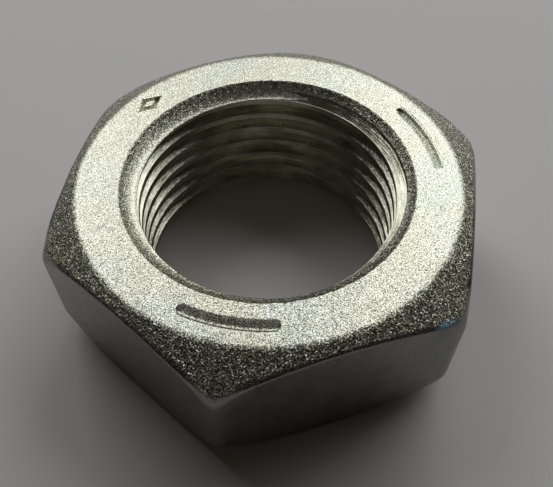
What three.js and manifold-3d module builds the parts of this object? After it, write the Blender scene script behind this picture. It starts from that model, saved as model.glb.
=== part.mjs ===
// A thin hexagon nut (jam nut), 1-1/8 inch by 12 threads to the inch, right hand.
// Millimetres, +Z up. The origin is the centre of the lower bearing face.
// Two opposite corners lie on the X axis and two flats face +Y and -Y.
import * as THREE from 'three';
import { mergeVertices } from 'three/addons/utils/BufferGeometryUtils.js';
import Module from 'manifold-3d';

// Outside of the nut.
const ACROSS_FLATS = 41.6;
const THICKNESS = 16.1;
const CORNER_RADIUS = 1.5;
const CHAMFER_CIRCLE_RADIUS = 19.5;
const CHAMFER_ANGLE = THREE.MathUtils.degToRad(30);
const FACE_EDGE_RADIUS = 1.2;
const FACE_EDGE_STEPS = 3;
const CORNER_STEPS = 4;

// Threaded bore.
const PITCH = 25.4 / 12;
const MAJOR_RADIUS = 28.65 / 2;
const MINOR_RADIUS = 26.7 / 2;
const ROOT_FLAT = PITCH / 8;
const FLANK_SLOPE = Math.tan(THREE.MathUtils.degToRad(30));
const GROOVE_HEIGHT_AT_X_AXIS = 0.28;
const COUNTERSINK_RADIUS = 15.1;
const COUNTERSINK_ANGLE = THREE.MathUtils.degToRad(40);
const COUNTERSINK_REACH = 2.6;

// Grade marks pressed into the upper face: two arcs and one plain lozenge outline, 120 degrees apart.
const MARK_CIRCLE_RADIUS = 17.45;
const ARC_WIDTH = 1.25;
const ARC_DEPTH = 0.5;
const ARC_HALF_ANGLE = THREE.MathUtils.degToRad(15.8);
const ARC_AZIMUTHS = [0, 240].map(THREE.MathUtils.degToRad);
const ARC_STEPS = 14;
const LOZENGE_AZIMUTH = THREE.MathUtils.degToRad(120);
const LOZENGE_LENGTH = 3.6;
const LOZENGE_WIDTH = 2.1;
const LOZENGE_DEPTH = 0.4;
const LOZENGE_ISLAND = 0.45;

// How finely round shapes are divided, and how far a cutter runs past the face it cuts.
const STEPS_PER_TURN = 48;
const OUTER_STEPS = 96;
const OVERRUN = 1;

const wasm = await Module();
wasm.setup();

// Makes a manifold-3d solid from a closed three.js geometry, leaving out collapsed triangles.
function solidFrom(geometry) {
  const bare = geometry.clone();
  bare.deleteAttribute('normal');
  bare.deleteAttribute('uv');
  const merged = mergeVertices(bare, 1e-5);
  const corners = merged.index.array;
  const kept = [];
  for (let i = 0; i < corners.length; i += 3) {
    const [a, b, c] = [corners[i], corners[i + 1], corners[i + 2]];
    if (a !== b && b !== c && c !== a) {
      kept.push(a, b, c);
    }
  }
  const vertProperties = new Float32Array(merged.attributes.position.array);
  const triVerts = new Uint32Array(kept);
  return new wasm.Manifold(new wasm.Mesh({ numProp: 3, vertProperties, triVerts }));
}

// Turns a manifold-3d solid back into a three.js geometry with flat shading.
function geometryFrom(solid) {
  const mesh = solid.getMesh();
  const geometry = new THREE.BufferGeometry();
  geometry.setAttribute('position', new THREE.BufferAttribute(new Float32Array(mesh.vertProperties), 3));
  geometry.setIndex(new THREE.BufferAttribute(new Uint32Array(mesh.triVerts), 1));
  const flat = geometry.toNonIndexed();
  flat.computeVertexNormals();
  return flat;
}

// Turns a profile of radius and height about the Z axis.
function turned(profile, steps) {
  const points = profile.map(([radius, height]) => new THREE.Vector2(radius, height));
  const geometry = new THREE.LatheGeometry(points, steps);
  geometry.rotateX(Math.PI / 2);
  return solidFrom(geometry);
}

// Joins a row of equal-sided rings into a closed skin, with a flat fan over each end.
function sweptThrough(rings) {
  const sides = rings[0].length;
  const positions = rings.flat().flatMap((point) => point.toArray());
  const index = [];
  for (let i = 0; i + 1 < rings.length; i += 1) {
    for (let j = 0; j < sides; j += 1) {
      const a = i * sides + j;
      const b = i * sides + ((j + 1) % sides);
      index.push(a, b + sides, b, a, a + sides, b + sides);
    }
  }
  const last = (rings.length - 1) * sides;
  for (let j = 1; j + 1 < sides; j += 1) {
    index.push(0, j, j + 1, last, last + j + 1, last + j);
  }
  const geometry = new THREE.BufferGeometry();
  geometry.setAttribute('position', new THREE.Float32BufferAttribute(positions, 3));
  geometry.setIndex(index);
  return solidFrom(geometry);
}

function cylindrical(radius, azimuth, height) {
  return new THREE.Vector3(radius * Math.cos(azimuth), radius * Math.sin(azimuth), height);
}

// The hexagonal bar, with its six long edges rounded, a little taller than the nut.
function hexagonBar() {
  const outline = new THREE.Shape();
  const centreDistance = (ACROSS_FLATS / 2 - CORNER_RADIUS) / Math.cos(Math.PI / 6);
  for (let corner = 0; corner < 6; corner += 1) {
    const azimuth = (corner * Math.PI) / 3;
    const x = centreDistance * Math.cos(azimuth);
    const y = centreDistance * Math.sin(azimuth);
    outline.absarc(x, y, CORNER_RADIUS, azimuth - Math.PI / 6, azimuth + Math.PI / 6, false);
  }
  const depth = THICKNESS + 2 * OVERRUN;
  const extrusion = { depth, bevelEnabled: false, curveSegments: CORNER_STEPS };
  const geometry = new THREE.ExtrudeGeometry(outline, extrusion);
  geometry.translate(0, 0, -OVERRUN);
  return solidFrom(geometry);
}

// The turned envelope that cuts the corners at both faces and rolls the edge of each face.
function chamferEnvelope() {
  const reach = ACROSS_FLATS;
  const drop = (reach - CHAMFER_CIRCLE_RADIUS) * Math.tan(CHAMFER_ANGLE);
  const tangent = FACE_EDGE_RADIUS * Math.tan(CHAMFER_ANGLE / 2);
  const upper = [];
  for (let step = 0; step <= FACE_EDGE_STEPS; step += 1) {
    const turn = (CHAMFER_ANGLE * step) / FACE_EDGE_STEPS;
    const radius = CHAMFER_CIRCLE_RADIUS - tangent + FACE_EDGE_RADIUS * Math.sin(turn);
    upper.push([radius, THICKNESS - FACE_EDGE_RADIUS * (1 - Math.cos(turn))]);
  }
  upper.push([reach, THICKNESS - drop]);
  const lower = upper.map(([radius, height]) => [radius, THICKNESS - height]);
  return turned([[0, 0], ...lower, ...upper.reverse(), [0, THICKNESS]], OUTER_STEPS);
}

// The plain hole at the minor diameter, with a countersink sloping 40 degrees from the face at each end.
function boreCutter() {
  const slope = Math.tan(COUNTERSINK_ANGLE);
  const tip = COUNTERSINK_RADIUS - COUNTERSINK_REACH;
  const mouth = COUNTERSINK_RADIUS + OVERRUN;
  const hole = [
    [0, -OVERRUN],
    [MINOR_RADIUS, -OVERRUN],
    [MINOR_RADIUS, THICKNESS + OVERRUN],
    [0, THICKNESS + OVERRUN],
  ];
  const cone = [
    [0, -COUNTERSINK_REACH * slope],
    [tip, -COUNTERSINK_REACH * slope],
    [mouth, OVERRUN * slope],
    [0, OVERRUN * slope],
  ];
  const upper = turned(cone.map(([radius, height]) => [radius, height + THICKNESS]), STEPS_PER_TURN);
  const lower = turned(cone.map(([radius, height]) => [radius, -height]).reverse(), STEPS_PER_TURN);
  return turned(hole, STEPS_PER_TURN).add(upper).add(lower);
}

// The helical groove of the internal thread, running out past both faces.
function threadCutter() {
  const inner = MINOR_RADIUS - 0.45;
  const rootHalf = ROOT_FLAT / 2;
  const innerHalf = rootHalf + (MAJOR_RADIUS - inner) * FLANK_SLOPE;
  const turnsBelow = 1;
  const turns = Math.ceil(THICKNESS / PITCH) + 2 * turnsBelow;
  const rings = [];
  for (let step = 0; step <= turns * STEPS_PER_TURN; step += 1) {
    const turn = step / STEPS_PER_TURN;
    const azimuth = turn * 2 * Math.PI;
    const height = GROOVE_HEIGHT_AT_X_AXIS + (turn - turnsBelow) * PITCH;
    rings.push([
      cylindrical(inner, azimuth, height - innerHalf),
      cylindrical(MAJOR_RADIUS, azimuth, height - rootHalf),
      cylindrical(MAJOR_RADIUS, azimuth, height + rootHalf),
      cylindrical(inner, azimuth, height + innerHalf),
    ]);
  }
  return sweptThrough(rings);
}

// One curved groove with sloping sides, a narrow flat bottom and round ends.
function arcCutter(middleAzimuth) {
  const topHalf = ARC_WIDTH / 2;
  const endAngle = topHalf / MARK_CIRCLE_RADIUS;
  const lift = ARC_DEPTH * 0.5;
  const rings = [];
  for (let step = 0; step <= ARC_STEPS; step += 1) {
    const along = -Math.cos((Math.PI * step) / ARC_STEPS);
    const offset = along * ARC_HALF_ANGLE;
    const fromEnd = Math.min(1, (ARC_HALF_ANGLE - Math.abs(offset)) / endAngle);
    const size = Math.max(0.25, Math.sqrt(1 - (1 - fromEnd) ** 2));
    const azimuth = middleAzimuth + offset;
    const bottom = THICKNESS - ARC_DEPTH * size;
    const top = THICKNESS + lift;
    const topWidth = topHalf * size * (1 + lift / ARC_DEPTH);
    const bottomWidth = topHalf * size * 0.3;
    rings.push([
      cylindrical(MARK_CIRCLE_RADIUS - topWidth, azimuth, top),
      cylindrical(MARK_CIRCLE_RADIUS - bottomWidth, azimuth, bottom),
      cylindrical(MARK_CIRCLE_RADIUS + bottomWidth, azimuth, bottom),
      cylindrical(MARK_CIRCLE_RADIUS + topWidth, azimuth, top),
    ]);
  }
  return sweptThrough(rings);
}

// A plain four-sided groove round a small island, with its long diagonal running around the face.
function lozengeCutter() {
  const prism = (size) => {
    const geometry = new THREE.CylinderGeometry(size, size, 2 * LOZENGE_DEPTH, 4);
    geometry.rotateX(-Math.PI / 2);
    geometry.scale(LOZENGE_WIDTH / 2, LOZENGE_LENGTH / 2, 1);
    geometry.translate(MARK_CIRCLE_RADIUS, 0, THICKNESS);
    geometry.rotateZ(LOZENGE_AZIMUTH);
    return solidFrom(geometry);
  };
  return prism(1).subtract(prism(LOZENGE_ISLAND));
}

const cutters = [boreCutter(), threadCutter(), ...ARC_AZIMUTHS.map(arcCutter), lozengeCutter()];
const blank = hexagonBar().intersect(chamferEnvelope());
const nut = cutters.reduce((solid, cutter) => solid.subtract(cutter), blank);

const zincPlate = new THREE.MeshStandardMaterial({ color: 0xb9b9ad, roughness: 0.42, metalness: 0.9 });
const body = new THREE.Mesh(geometryFrom(nut), zincPlate);
body.name = 'nut_body';

const object = new THREE.Group();
object.name = 'hex_jam_nut';
object.add(body);

export default object;
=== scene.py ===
# A zinc-plated 1-1/8 inch hex jam nut, lying on a plain pale floor.
# Lengths are in millimetres in the row frame, and are turned into metres where Blender takes them.
# Azimuths run from +X about +Z.
import math

import bpy
import numpy as np
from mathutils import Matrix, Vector


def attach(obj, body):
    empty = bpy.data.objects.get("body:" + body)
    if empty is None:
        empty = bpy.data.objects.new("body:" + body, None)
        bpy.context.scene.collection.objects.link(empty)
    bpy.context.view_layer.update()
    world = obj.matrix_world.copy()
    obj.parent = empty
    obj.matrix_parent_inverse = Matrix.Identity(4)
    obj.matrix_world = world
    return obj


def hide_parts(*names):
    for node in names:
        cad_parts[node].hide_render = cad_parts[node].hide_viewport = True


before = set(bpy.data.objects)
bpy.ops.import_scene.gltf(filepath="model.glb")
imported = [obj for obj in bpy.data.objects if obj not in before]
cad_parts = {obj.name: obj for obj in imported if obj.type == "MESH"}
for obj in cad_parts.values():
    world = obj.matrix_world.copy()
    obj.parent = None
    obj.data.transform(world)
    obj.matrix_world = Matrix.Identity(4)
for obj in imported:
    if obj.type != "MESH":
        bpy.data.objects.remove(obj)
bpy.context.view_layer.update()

MM = 0.001

# Outside of the nut. The face rolls over into the chamfer, and the chamfer into the wrench flats.
ACROSS_FLATS = 41.6
THICKNESS = 16.1
CORNER_RADIUS = 1.5
CHAMFER_CIRCLE = 19.5
CHAMFER_ANGLE = math.radians(30)
FACE_ROLL = 1.2
EDGE_TURN = math.radians(60)
EDGE_ROLL_FLAT = 0.4
EDGE_ROLL_CORNER = 2.6
EDGE_ROLL_REACH = math.radians(5.0)

# The forged grain fades out this far above the middle of the rolled edge, over this length.
SMOOTH_LINE = 0.32
FADE = 0.15

# How far the rims of the face and of the countersink wander, and the waves that they wander in.
WANDER = 0.035
CHAMFER_WAVES = range(5, 120)
CHAMFER_WAVE_DECAY = 0.5
SINK_WAVES = range(23, 200)
SINK_WAVE_DECAY = 0.2

# Thread: its radii, half the width of its root and the rounding of that root's edges, the ledge left
# at the crest, and how far the tap stands out into the open bore.
PITCH = 25.4 / 12
MAJOR = 28.65 / 2
MINOR = 26.7 / 2
FLANK_SLOPE = math.tan(math.radians(30))
ROOT_HALF = PITCH / 12
ROOT_ROUNDING = 0.1
ROOT_TURNS = (60, 40, 20, 0)
CREST_LEDGE = 0.05
TAP_INSIDE = 0.4
GROOVE_HEIGHT_AT_X_AXIS = 0.28
STEPS_PER_TURN = 300
SHARP_ANGLE = math.radians(22)

# Countersink: radii of its mouth and foot, its depth, how strongly it is dished, and how its wear grows.
# Each row of the lip below it is a radius and a depth below the face.
COUNTERSINK = 15.1
CONE_END = 13.6
CONE_DEPTH = 1.27
CONE_CURVE = 1.35
CONE_WEAR = 1.2
LIP = [(13.52, 1.30), (13.44, 1.31), (13.38, 1.35), (MINOR, 1.42)]
LIP_WEAR = 0.8

# Arcs in the upper face: the azimuth in degrees and the radius of each one's middle line.
# The floor slopes gently from the inner edge to its deepest line, and its outer wall is steep.
ARC_MARKS = [(0, 17.36), (240, 17.24)]
ARC_HALF_ANGLE = math.radians(15.8)
ARC_WIDTH = 1.08
ARC_DEPTH = 0.33
ARC_DEEPEST = 0.72
ARC_OUTER_STEEPNESS = 2.5

# A faint line just outside each arc: its distance, half width and depth.
RIM_LINE = 0.17
RIM_LINE_HALF_WIDTH = 0.11
RIM_LINE_DEPTH = 0.07

# A lozenge outline, round an island that is this part of its size.
LOZENGE_AZIMUTH = 120
LOZENGE_CIRCLE = 17.45
LOZENGE_HALF_WIDTH = 1.05
LOZENGE_HALF_LENGTH = 1.8
LOZENGE_DEPTH = 0.5
LOZENGE_ISLAND = 0.45

# How much wear is lost in the marks, and the depth at which all of that is lost.
MARK_DULLING = 0.3
MARK_DULL_DEPTH = 0.1

# A rubbed bright spot on the upper face: x, y, direction in degrees, length and width,
# and how far it reaches down.
RUBBED = (-4.75, -15.45, 70, 2.4, 1.3)
SPOT_DEPTH = 2

# Painted blue glint: a blue sky reflection painted as a bright blue tint on the edge beside one corner,
# and where it lies on the rolled edge: the degrees turned from the chamfer, and its reach.
PAINTED_GLINT_AZIMUTH = math.radians(295)
PAINTED_GLINT_REACH = math.radians(2.8)
PAINTED_GLINT_TURN = 14
PAINTED_GLINT_TURN_REACH = 7

# Bumps of the materials: the relief in metres, the parts of it that each kind of grain takes, and
# how many times finer the fine grain is than the coarse one.
FORGED_RELIEF = 0.00013
FINE_GRAIN = 1.23
COARSE_HEIGHT = 0.76
FINE_HEIGHT = 0.21
SATIN_HEIGHT = 0.14
DRAWN_HEIGHT = 0.03
THREADED_RELIEF = 0.00005
TOOL_MARK_HEIGHT = 1.2
THREAD_FACET_HEIGHT = 0.3

# How strongly a faint warm and cool film tints the plating, the colour of the rubbed spot, and the
# roughness of the painted blue glint, as a grey.
FILM_STRENGTH = 0.7
RUBBED_COLOUR = (0.98, 0.98, 0.93, 1)
PAINTED_GLINT_ROUGHNESS = (0.4, 0.4, 0.4, 1)

# Columns of the mesh: even ones, more beside each corner and mark in degrees, and none too close.
EVEN_COLUMNS = 420
CORNER_COLUMNS = [-2.6, -1.9, -1.1, -0.4, 0.4, 1.1, 1.9, 2.6]
ARC_END_COLUMNS = np.arange(-2.0, 2.1, 0.4)
LOZENGE_COLUMNS = np.arange(-6.4, 6.5, 0.4)
CLOSEST_COLUMNS = math.radians(0.25)

# Rows of the mesh: radii on the faces, close together over the marks, and parts of the way down the sides.
INNER_FACE_ROWS = [COUNTERSINK + 0.13, 15.5, 15.9, 16.25, 16.45, 16.58]
MARKED_FACE_ROWS = list(np.arange(16.66, 18.1, 0.06))
OUTER_FACE_ROWS = [18.2, 18.32, 18.45, 18.65, 18.9]
LOWER_FACE_ROWS = [15.3, 16.2, 17.5, 18.6]
FACE_ROLL_ROWS = 5
CHAMFER_ROWS = 7
EDGE_ROLL_ROWS = 9
SIDE_ROWS = (0.06, 0.2, 0.45, 0.75, 1.0)
CONE_ROWS = 11

rng = np.random.default_rng(20)


def wrap(angle):
    """The angle brought into -pi to pi."""
    return (np.asarray(angle) + np.pi) % (2 * np.pi) - np.pi


def ring_noise(azimuth, waves, decay):
    """A smooth random curve round the nut, mostly between -2 and 2."""
    total = np.zeros_like(azimuth)
    power = 0.0
    for k in waves:
        weight = 1.0 / k ** decay
        total += weight * np.sin(k * azimuth + rng.uniform(0, 2 * np.pi))
        power += weight ** 2
    return total / math.sqrt(power)


def columns():
    """Azimuths of the mesh's columns: even all round, closer at the corners and the marks."""
    angles = list(np.linspace(0, 2 * np.pi, EVEN_COLUMNS, endpoint=False))
    for corner in range(6):
        angles += list(math.radians(60 * corner) + np.radians(CORNER_COLUMNS))
    for middle, _ in ARC_MARKS:
        for end in (-ARC_HALF_ANGLE, ARC_HALF_ANGLE):
            angles += list(math.radians(middle) + end + np.radians(ARC_END_COLUMNS))
    angles += list(np.radians(LOZENGE_AZIMUTH + LOZENGE_COLUMNS))
    angles = np.sort(np.asarray(angles) % (2 * np.pi))
    kept = [angles[0]]
    for angle in angles[1:]:
        if angle - kept[-1] > CLOSEST_COLUMNS:
            kept.append(angle)
    return np.array(kept)


def from_corner(azimuth):
    """Angle to the nearest corner of the hexagon."""
    return np.abs((azimuth + np.pi / 6) % (np.pi / 3) - np.pi / 6)


def hexagon_radius(azimuth):
    """Distance from the axis to the side of the hexagon, with its corners rounded."""
    off_corner = from_corner(azimuth)
    flat = (ACROSS_FLATS / 2) / np.cos(np.pi / 6 - off_corner)
    centre = (ACROSS_FLATS / 2 - CORNER_RADIUS) / math.cos(math.pi / 6)
    inside = np.clip(CORNER_RADIUS ** 2 - (centre * np.sin(off_corner)) ** 2, 0, None)
    rounded = centre * np.cos(off_corner) + np.sqrt(inside)
    meeting = math.atan2(CORNER_RADIUS / 2, centre + CORNER_RADIUS * math.cos(math.pi / 6))
    return np.where(off_corner < meeting, rounded, flat)


def mark_depth(radius, azimuth):
    """How deep the marks are pressed below the upper face."""
    half = ARC_WIDTH / 2
    depth = np.zeros(np.broadcast(radius, azimuth).shape)
    for middle, circle in ARC_MARKS:
        off = np.abs(wrap(azimuth - math.radians(middle)))
        past = np.clip(off - (ARC_HALF_ANGLE - half / circle), 0, None) * circle
        reach = np.sqrt(np.clip(1 - (past / half) ** 2, 0, 1)) * half
        inner = radius - (circle - reach)
        outer = circle + reach - radius
        outer_part = outer / (ARC_WIDTH - ARC_DEEPEST) * ARC_OUTER_STEEPNESS
        slope = np.minimum(inner / ARC_DEEPEST, outer_part)
        depth = np.maximum(depth, ARC_DEPTH * np.clip(slope, 0, 1))
        line = RIM_LINE_DEPTH * np.clip(1 - np.abs(outer + RIM_LINE) / RIM_LINE_HALF_WIDTH, 0, 1)
        depth = np.maximum(depth, np.where(past < half, line, 0))
    off = wrap(azimuth - math.radians(LOZENGE_AZIMUTH)) * LOZENGE_CIRCLE
    size = np.abs(radius - LOZENGE_CIRCLE) / LOZENGE_HALF_WIDTH + np.abs(off) / LOZENGE_HALF_LENGTH
    across = (size - (1 + LOZENGE_ISLAND) / 2) / ((1 - LOZENGE_ISLAND) / 2)
    return np.maximum(depth, LOZENGE_DEPTH * np.clip(1 - np.abs(across) ** 2, 0, 1))


def outside_rows(azimuth, face_radii, circle):
    """Rows of the upper half of the outside, from the countersink to mid-height.

    Each row is a radius, a height, how much forged grain it carries, how worn it is and its painted blue
    glint."""
    side = hexagon_radius(azimuth)
    cornered = np.exp(-(from_corner(azimuth) / EDGE_ROLL_REACH) ** 2)
    roll = EDGE_ROLL_FLAT + (EDGE_ROLL_CORNER - EDGE_ROLL_FLAT) * cornered
    # Where the painted blue glint lies round the nut.
    painted_glint = np.exp(-(wrap(azimuth - PAINTED_GLINT_AZIMUTH) / PAINTED_GLINT_REACH) ** 2)
    rows = []

    def row(radius, height, grain, worn=0.0, painted_blue_glint=0.0):
        rows.append([value + 0 * azimuth for value in (radius, height, grain, worn)] + [painted_blue_glint * painted_glint])

    tangent = FACE_ROLL * math.tan(CHAMFER_ANGLE / 2)
    for radius in face_radii:
        row(radius, THICKNESS, 1.0, 1.0)
    for turn in np.linspace(0, CHAMFER_ANGLE, FACE_ROLL_ROWS):
        radius = circle - tangent + FACE_ROLL * math.sin(turn)
        row(radius, THICKNESS - FACE_ROLL * (1 - math.cos(turn)), 1.0, 1 - turn / CHAMFER_ANGLE)
    edge_height = THICKNESS - (side - circle) * math.tan(CHAMFER_ANGLE)
    back = roll * math.tan(EDGE_TURN / 2)
    start_radius = side - back * math.cos(CHAMFER_ANGLE)
    start_height = edge_height + back * math.sin(CHAMFER_ANGLE)
    first_radius = circle + tangent * math.cos(CHAMFER_ANGLE)
    first_height = THICKNESS - tangent * math.sin(CHAMFER_ANGLE)
    for part in np.linspace(0, 1, CHAMFER_ROWS)[1:-1]:
        radius = first_radius + (start_radius - first_radius) * part
        row(radius, first_height + (start_height - first_height) * part, 1.0)
    for turn in np.linspace(0, EDGE_TURN, EDGE_ROLL_ROWS):
        radius = side - roll * (1 - math.sin(CHAMFER_ANGLE + turn))
        height = edge_height - back + roll * math.cos(CHAMFER_ANGLE + turn)
        grain = np.clip((roll * (EDGE_TURN / 2 - turn) - SMOOTH_LINE) / FADE, 0, 1)
        painted_blue_glint = math.exp(-((math.degrees(turn) - PAINTED_GLINT_TURN) / PAINTED_GLINT_TURN_REACH) ** 2)
        row(radius, height, grain, 0.0, painted_blue_glint)
    low = edge_height - back
    for part in SIDE_ROWS:
        row(side, low + (THICKNESS / 2 - low) * part, 0.0)
    return rows


def countersink_rows(azimuth):
    """Rows of the countersink from just inside its edge over the lip to the bore wall."""
    rows = []
    for part in np.linspace(0, 1, CONE_ROWS)[1:]:
        depth = CONE_DEPTH * (1 - (1 - part) ** CONE_CURVE)
        rows.append((COUNTERSINK + (CONE_END - COUNTERSINK) * part, depth, part ** CONE_WEAR))
    rows += [(radius, depth, LIP_WEAR) for radius, depth in LIP]
    return [[value + 0 * azimuth for value in (radius, depth, 1, worn, 0)] for radius, depth, worn in rows]


class Nodes:
    """A short way to add and link shader nodes."""

    def __init__(self, name):
        self.material = bpy.data.materials.new(name)
        self.material.use_nodes = True
        self.tree = self.material.node_tree
        self.tree.nodes.clear()
        self.place = self.tree.nodes.new("ShaderNodeTexCoord").outputs["Object"]

    def link(self, source, target):
        self.tree.links.new(source, target)

    def attribute(self, name):
        """One of the values that the mesh keeps at each point."""
        node = self.tree.nodes.new("ShaderNodeAttribute")
        node.attribute_name = name
        return node.outputs["Fac"]

    def noise(self, scale, detail=2.0, roughness=0.5, stretch=None):
        """Noise with features about 1/scale metres across, drawn out along axes where stretch is small."""
        node = self.tree.nodes.new("ShaderNodeTexNoise")
        node.inputs["Scale"].default_value = scale
        node.inputs["Detail"].default_value = detail
        node.inputs["Roughness"].default_value = roughness
        place = self.place
        if stretch:
            mapping = self.tree.nodes.new("ShaderNodeMapping")
            mapping.inputs["Scale"].default_value = stretch
            self.link(self.place, mapping.inputs["Vector"])
            place = mapping.outputs["Vector"]
        self.link(place, node.inputs["Vector"])
        return node.outputs["Fac"]

    def cells(self, scale):
        """Distance from the middle of the nearest of many random cells."""
        node = self.tree.nodes.new("ShaderNodeTexVoronoi")
        node.inputs["Scale"].default_value = scale
        self.link(self.place, node.inputs["Vector"])
        return node.outputs["Distance"]

    def facets(self, scale):
        """Heights of small flat facets, each tilted its own way."""
        node = self.tree.nodes.new("ShaderNodeTexVoronoi")
        node.inputs["Scale"].default_value = scale
        self.link(self.place, node.inputs["Vector"])
        offset = self.vector("SUBTRACT", self.place, node.outputs["Position"])
        tilt = self.vector("SUBTRACT", node.outputs["Color"], (0.5, 0.5, 0.5))
        return self.multiply(self.vector("DOT_PRODUCT", offset, tilt, output="Value"), scale)

    def spot(self, x, y, direction, length, width):
        """An ellipse on the upper face, 1 in its middle and 0 at its rim, sized in millimetres."""
        mapping = self.tree.nodes.new("ShaderNodeMapping")
        mapping.vector_type = "TEXTURE"
        mapping.inputs["Location"].default_value = (x * MM, y * MM, THICKNESS * MM)
        mapping.inputs["Rotation"].default_value = (0, 0, math.radians(direction))
        mapping.inputs["Scale"].default_value = (length / 2 * MM, width / 2 * MM, SPOT_DEPTH * MM)
        self.link(self.place, mapping.inputs["Vector"])
        gradient = self.tree.nodes.new("ShaderNodeTexGradient")
        gradient.gradient_type = "SPHERICAL"
        self.link(mapping.outputs["Vector"], gradient.inputs["Vector"])
        return gradient.outputs["Fac"]

    def vector(self, operation, first, second, output="Vector"):
        """Vector arithmetic; a dot product comes out as a Value."""
        node = self.tree.nodes.new("ShaderNodeVectorMath")
        node.operation = operation
        self.fill(node.inputs, (first, second))
        return node.outputs[output]

    def ramp(self, source, stops):
        """Values or colours at the given positions of the source."""
        node = self.tree.nodes.new("ShaderNodeValToRGB")
        elements = node.color_ramp.elements
        while len(elements) < len(stops):
            elements.new(0.5)
        for element, (position, colour) in zip(elements, stops):
            element.position = position
            element.color = (*colour, 1) if isinstance(colour, tuple) else (colour, colour, colour, 1)
        self.link(source, node.inputs["Fac"])
        return node.outputs["Color"]

    def maths(self, operation, first, second):
        node = self.tree.nodes.new("ShaderNodeMath")
        node.operation = operation
        self.fill(node.inputs, (first, second))
        return node.outputs[0]

    def add(self, first, second):
        return self.maths("ADD", first, second)

    def subtract(self, first, second):
        return self.maths("SUBTRACT", first, second)

    def multiply(self, first, second):
        return self.maths("MULTIPLY", first, second)

    def mix(self, factor, first, second, blend="MIX"):
        """The two colours mixed. The node's colour inputs are 6 and 7, and its colour output is 2."""
        node = self.tree.nodes.new("ShaderNodeMix")
        node.data_type = "RGBA"
        node.blend_type = blend
        self.fill([node.inputs["Factor"], node.inputs[6], node.inputs[7]], (factor, first, second))
        return node.outputs[2]

    def fill(self, sockets, values):
        """Link each value that is a socket, and set each one that is a plain value."""
        for socket, value in zip(sockets, values):
            if isinstance(value, bpy.types.NodeSocket):
                self.link(value, socket)
            else:
                socket.default_value = value

    def metal(self, colour, roughness, height, relief):
        """A metal surface with the given colour, roughness and bumps of up to relief metres."""
        bump = self.tree.nodes.new("ShaderNodeBump")
        bump.inputs["Distance"].default_value = relief
        self.link(height, bump.inputs["Height"])
        shader = self.tree.nodes.new("ShaderNodeBsdfPrincipled")
        shader.inputs["Metallic"].default_value = 1.0
        self.link(colour, shader.inputs["Base Color"])
        self.link(roughness, shader.inputs["Roughness"])
        self.link(bump.outputs["Normal"], shader.inputs["Normal"])
        output = self.tree.nodes.new("ShaderNodeOutputMaterial")
        self.link(shader.outputs["BSDF"], output.inputs["Surface"])
        return self.material


def forged_skin(nodes, fineness):
    """A random skin of about 0 to 1 for colours, and heights of small tilted grains that follow it."""
    noise = nodes.noise(5200 * fineness, 3.0, 0.65)
    skin = nodes.multiply(nodes.add(noise, nodes.cells(7000 * fineness)), 0.5)
    return skin, nodes.add(nodes.facets(8500 * fineness), nodes.multiply(skin, 0.9))


def forged_zinc():
    """Zinc plate over the forged skin: sparkling grain on faces and chamfers, satin on the wrench flats."""
    nodes = Nodes("forged_zinc")
    grain = nodes.attribute("grain")
    worn = nodes.attribute("worn")
    painted_glint = nodes.attribute("painted_glint")
    rubbed = nodes.spot(*RUBBED)
    coarse_skin, coarse = forged_skin(nodes, 1.0)
    fine_skin, fine = forged_skin(nodes, FINE_GRAIN)

    # Heights: deep coarse grain where nothing is worn, shallow fine grain on the worn faces.
    deep = nodes.multiply(nodes.subtract(nodes.add(painted_glint, 1.0), worn), COARSE_HEIGHT)
    shallow = nodes.multiply(nodes.subtract(worn, rubbed), FINE_HEIGHT)
    shape = nodes.add(nodes.multiply(coarse, deep), nodes.multiply(fine, shallow))
    drawn = nodes.multiply(nodes.noise(7000, 2.0, 0.6, (1, 1, 0.05)), DRAWN_HEIGHT)
    satin = nodes.add(nodes.multiply(nodes.facets(8500), SATIN_HEIGHT), drawn)
    height = nodes.add(nodes.multiply(shape, grain), satin)

    # Colours over their noise, from dark to light, and a film from cool to warm.
    face_stops = [(0.32, (0.46, 0.46, 0.32)), (0.42, (0.75, 0.76, 0.61)), (0.58, (0.96, 0.97, 0.87))]
    # Unworn forged skin on the chamfers and rolled edges: its dark speckle is partly the skin's own tone
    # and partly painted shade for the dark room that it mirrors.
    dull_and_shade_stops = [(0.42, (0.12, 0.115, 0.085)), (0.55, (0.28, 0.27, 0.21)), (0.68, (0.92, 0.90, 0.75))]
    # Wrench flats: satin zinc, darkened in colour as painted shade for the shadowed floor just in front of
    # them that they mirror.
    flat_shade_stops = [(0.3, (0.21, 0.205, 0.185)), (0.7, (0.28, 0.275, 0.25))]
    # Painted reflection: a bright blue glint painted into the colour beside one corner.
    painted_glint_stops = [(0.34, (0.05, 0.16, 0.40)), (0.46, (0.34, 0.72, 1.0))]
    film_stops = [(0.35, (0.93, 0.97, 1.0)), (0.65, (1.0, 0.98, 0.92))]
    face = nodes.ramp(fine_skin, face_stops)
    dull_and_shade = nodes.ramp(coarse_skin, dull_and_shade_stops)
    flat = nodes.ramp(nodes.noise(420, 4.0, 0.55), flat_shade_stops)
    painted_blue_glint = nodes.ramp(coarse_skin, painted_glint_stops)
    film = nodes.ramp(nodes.noise(150, 3.0, 0.5), film_stops)
    colour = nodes.mix(grain, flat, nodes.mix(worn, dull_and_shade, face))
    colour = nodes.mix(FILM_STRENGTH, colour, film, "MULTIPLY")
    colour = nodes.mix(rubbed, colour, RUBBED_COLOUR)
    # The painted blue glint laid over the colour.
    colour = nodes.mix(painted_glint, colour, painted_blue_glint)

    satin_roughness = nodes.ramp(nodes.noise(2600, 3.0, 0.6), [(0.3, 0.30), (0.7, 0.20)])
    grain_roughness = nodes.ramp(coarse_skin, [(0.40, 0.20), (0.66, 0.34)])
    roughness = nodes.mix(grain, satin_roughness, grain_roughness)
    roughness = nodes.mix(painted_glint, roughness, PAINTED_GLINT_ROUGHNESS)
    return nodes.metal(colour, roughness, height, FORGED_RELIEF)


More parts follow.
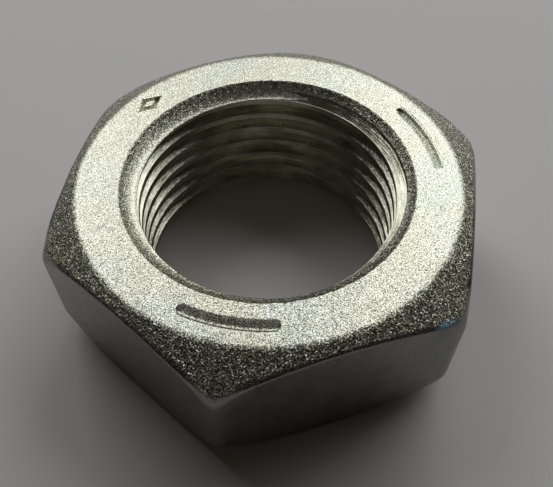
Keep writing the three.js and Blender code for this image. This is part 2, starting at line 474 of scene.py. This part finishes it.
def threaded_zinc():
    """Thinner plate in the bore, with fine tool marks running round the thread."""
    nodes = Nodes("threaded_zinc")
    marks = nodes.noise(9000, 3.0, 0.6, (0.03, 0.03, 1))
    facets = nodes.multiply(nodes.facets(7000), THREAD_FACET_HEIGHT)
    height = nodes.add(nodes.multiply(marks, TOOL_MARK_HEIGHT), facets)
    stops = [(0.35, (0.36, 0.355, 0.27)), (0.65, (0.76, 0.77, 0.64))]
    colour = nodes.ramp(nodes.noise(900, 4.0, 0.6, (0.3, 0.3, 1)), stops)
    roughness = nodes.ramp(marks, [(0.3, 0.27), (0.7, 0.15)])
    return nodes.metal(colour, roughness, height, THREADED_RELIEF)


forged = forged_zinc()
threaded = threaded_zinc()


def mesh_object(name, points, faces, bore_faces, finish):
    """A mesh object in metres. finish holds each point's grain, wear and painted blue glint."""
    mesh = bpy.data.meshes.new(name)
    mesh.from_pydata([tuple(v * MM for v in p) for p in points], [], faces)
    mesh.materials.append(forged)
    mesh.materials.append(threaded)
    mesh.polygons.foreach_set("material_index", np.asarray(bore_faces, np.int32))
    for attribute, values in zip(("grain", "worn", "painted_glint"), np.asarray(finish, np.float32).T):
        mesh.attributes.new(attribute, "FLOAT", "POINT").data.foreach_set("value", values.copy())
    item = bpy.data.objects.new(name, mesh)
    bpy.context.scene.collection.objects.link(item)
    return item


def build_blank():
    """The nut before it is tapped: one closed skin of rows round the whole section."""
    azimuth = columns()
    count = len(azimuth)
    circle = CHAMFER_CIRCLE + WANDER * ring_noise(azimuth, CHAMFER_WAVES, CHAMFER_WAVE_DECAY)
    ragged = WANDER * ring_noise(azimuth, SINK_WAVES, SINK_WAVE_DECAY)
    face_radii = [COUNTERSINK + ragged] + INNER_FACE_ROWS + MARKED_FACE_ROWS + OUTER_FACE_ROWS
    upper = outside_rows(azimuth, face_radii, circle)
    for j, radius in enumerate(face_radii):
        depth = mark_depth(radius, azimuth)
        upper[j][1] = THICKNESS - depth
        upper[j][3] = 1 - MARK_DULLING * np.clip(depth / MARK_DULL_DEPTH, 0, 1)
    lower = outside_rows(azimuth, [COUNTERSINK + ragged[::-1]] + LOWER_FACE_ROWS, circle)
    sink = countersink_rows(azimuth)
    rows = list(upper)
    rows += [[row[0], THICKNESS - row[1], row[2], row[3], 0 * azimuth] for row in lower[:-1][::-1]]
    rows += sink
    rows += [[row[0], THICKNESS - row[1], *row[2:]] for row in sink[::-1]]
    wall_row = len(rows) - len(sink) - 1

    points = []
    finish = []
    for radius, height, *skin in rows:
        points += zip(radius * np.cos(azimuth), radius * np.sin(azimuth), height)
        finish += zip(*skin)
    faces = []
    bore_faces = []
    for j in range(len(rows)):
        below = (j + 1) % len(rows)
        for i in range(count):
            k = (i + 1) % count
            faces.append((j * count + i, below * count + i, below * count + k, j * count + k))
            bore_faces.append(1 if j == wall_row else 0)
    return mesh_object("nut_surface", points, faces, bore_faces, finish)


def build_tap():
    """The solid that the thread groove takes out, climbing right-handed past both faces."""
    mouth = ROOT_HALF + (MAJOR - MINOR - CREST_LEDGE) * FLANK_SLOPE
    section = [(MINOR - TAP_INSIDE, -mouth), (MINOR + CREST_LEDGE, -mouth)]
    for turn in np.radians(ROOT_TURNS):
        drop = ROOT_ROUNDING * (1 - math.cos(turn))
        across = ROOT_HALF - ROOT_ROUNDING * FLANK_SLOPE + ROOT_ROUNDING * math.sin(turn)
        section.append((MAJOR - drop, -across))
    section += [(radius, -across) for radius, across in section[::-1]]
    turns = int(math.ceil(THICKNESS / PITCH)) + 2
    points = []
    for step in range(turns * STEPS_PER_TURN + 1):
        azimuth = 2 * math.pi * step / STEPS_PER_TURN
        middle = GROOVE_HEIGHT_AT_X_AXIS + PITCH * (step / STEPS_PER_TURN - 1)
        for radius, across in section:
            points.append((radius * math.cos(azimuth), radius * math.sin(azimuth), middle + across))
    size = len(section)
    last = turns * STEPS_PER_TURN * size
    faces = [tuple(range(size)), tuple(range(last + size - 1, last - 1, -1))]
    for step in range(turns * STEPS_PER_TURN):
        for j in range(size):
            k = (j + 1) % size
            here = step * size
            faces.append((here + k, here + j, here + size + j, here + size + k))
    return mesh_object("tap", points, faces, [1] * len(faces), [(0, 0, 0)] * len(points))


def build_nut():
    """The blank with its thread cut, as one closed mesh with crisp edges.

    The two materials follow the faces of the blank and of the tap."""
    blank = build_blank()
    tap = build_tap()
    cut = blank.modifiers.new("thread", "BOOLEAN")
    cut.operation = "DIFFERENCE"
    cut.solver = "MANIFOLD"
    cut.object = tap
    bpy.context.view_layer.update()
    tapped = bpy.data.meshes.new_from_object(blank.evaluated_get(bpy.context.evaluated_depsgraph_get()))
    blank.modifiers.clear()
    blank.data = tapped
    bpy.data.objects.remove(tap)
    tapped.shade_smooth()
    tapped.set_sharp_from_angle(angle=SHARP_ANGLE)
    return blank


nut = build_nut()
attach(nut, "root")
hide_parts("nut_body")


FLOOR_SIZE = 3.0
FLOOR_COLOUR = (0.80, 0.80, 0.79, 1)
FLOOR_ROUGHNESS = 0.8


def build_floor():
    """A plain pale floor."""
    material = bpy.data.materials.new("pale_floor")
    material.use_nodes = True
    shader = material.node_tree.nodes["Principled BSDF"]
    shader.inputs["Base Color"].default_value = FLOOR_COLOUR
    shader.inputs["Roughness"].default_value = FLOOR_ROUGHNESS
    bpy.ops.mesh.primitive_plane_add(size=FLOOR_SIZE)
    floor = bpy.context.object
    floor.name = "floor"
    floor.data.materials.append(material)


build_floor()


# Soft windows behind the nut: azimuth and elevation in degrees, width and height in metres, radiance.
RIGHT_WINDOW = (36, 33, 0.89, 1.02, 1.65)
BACK_WINDOW = (76, 35, 0.57, 0.84, 0.42)
LEFT_WINDOW = (106, 35, 0.53, 0.92, 1.70)
ROOM_COLOUR = (1.0, 0.82, 0.66, 1)
ROOM_STRENGTH = 0.022


def window(azimuth, elevation, width, height, radiance):
    """A soft panel a metre away, aimed at the nut."""
    turn = math.radians(azimuth)
    rise = math.radians(elevation)
    place = Vector((math.cos(rise) * math.cos(turn), math.cos(rise) * math.sin(turn), math.sin(rise)))
    light = bpy.data.lights.new("window", "AREA")
    light.shape = "RECTANGLE"
    light.size = width
    light.size_y = height
    light.energy = radiance * math.pi * width * height
    lamp = bpy.data.objects.new("window", light)
    lamp.location = place
    lamp.rotation_euler = place.to_track_quat("Z", "Y").to_euler()
    lamp.visible_camera = False
    bpy.context.scene.collection.objects.link(lamp)


def build_light():
    """Tall soft windows round the back of the nut, and a dim warm room in front."""
    for values in (RIGHT_WINDOW, BACK_WINDOW, LEFT_WINDOW):
        window(*values)
    world = bpy.data.worlds.new("studio")
    world.use_nodes = True
    world.node_tree.nodes["Background"].inputs["Color"].default_value = ROOM_COLOUR
    world.node_tree.nodes["Background"].inputs["Strength"].default_value = ROOM_STRENGTH
    bpy.context.scene.world = world
    bpy.context.scene.view_settings.view_transform = "Standard"


build_light()


# The camera: its place, and its tilt, roll and heading in degrees.
CAMERA_PLACE = (-14.362, -44.641, 66.746)
CAMERA_ANGLES = (37.256, 3.009, -16.964)
CAMERA_LENS = 43.98
CAMERA_SHIFT = 0.080
CAMERA_CLIP = 0.005
SENSOR_WIDTH = 36


def build_camera():
    """In front of the nut, a little to its left, and about 53 degrees above the floor."""
    data = bpy.data.cameras.new("camera")
    data.sensor_width = SENSOR_WIDTH
    data.lens = CAMERA_LENS
    data.shift_x = CAMERA_SHIFT
    data.clip_start = CAMERA_CLIP
    camera = bpy.data.objects.new("camera", data)
    camera.location = [value * MM for value in CAMERA_PLACE]
    camera.rotation_euler = [math.radians(angle) for angle in CAMERA_ANGLES]
    bpy.context.scene.collection.objects.link(camera)
    bpy.context.scene.camera = camera


build_camera()
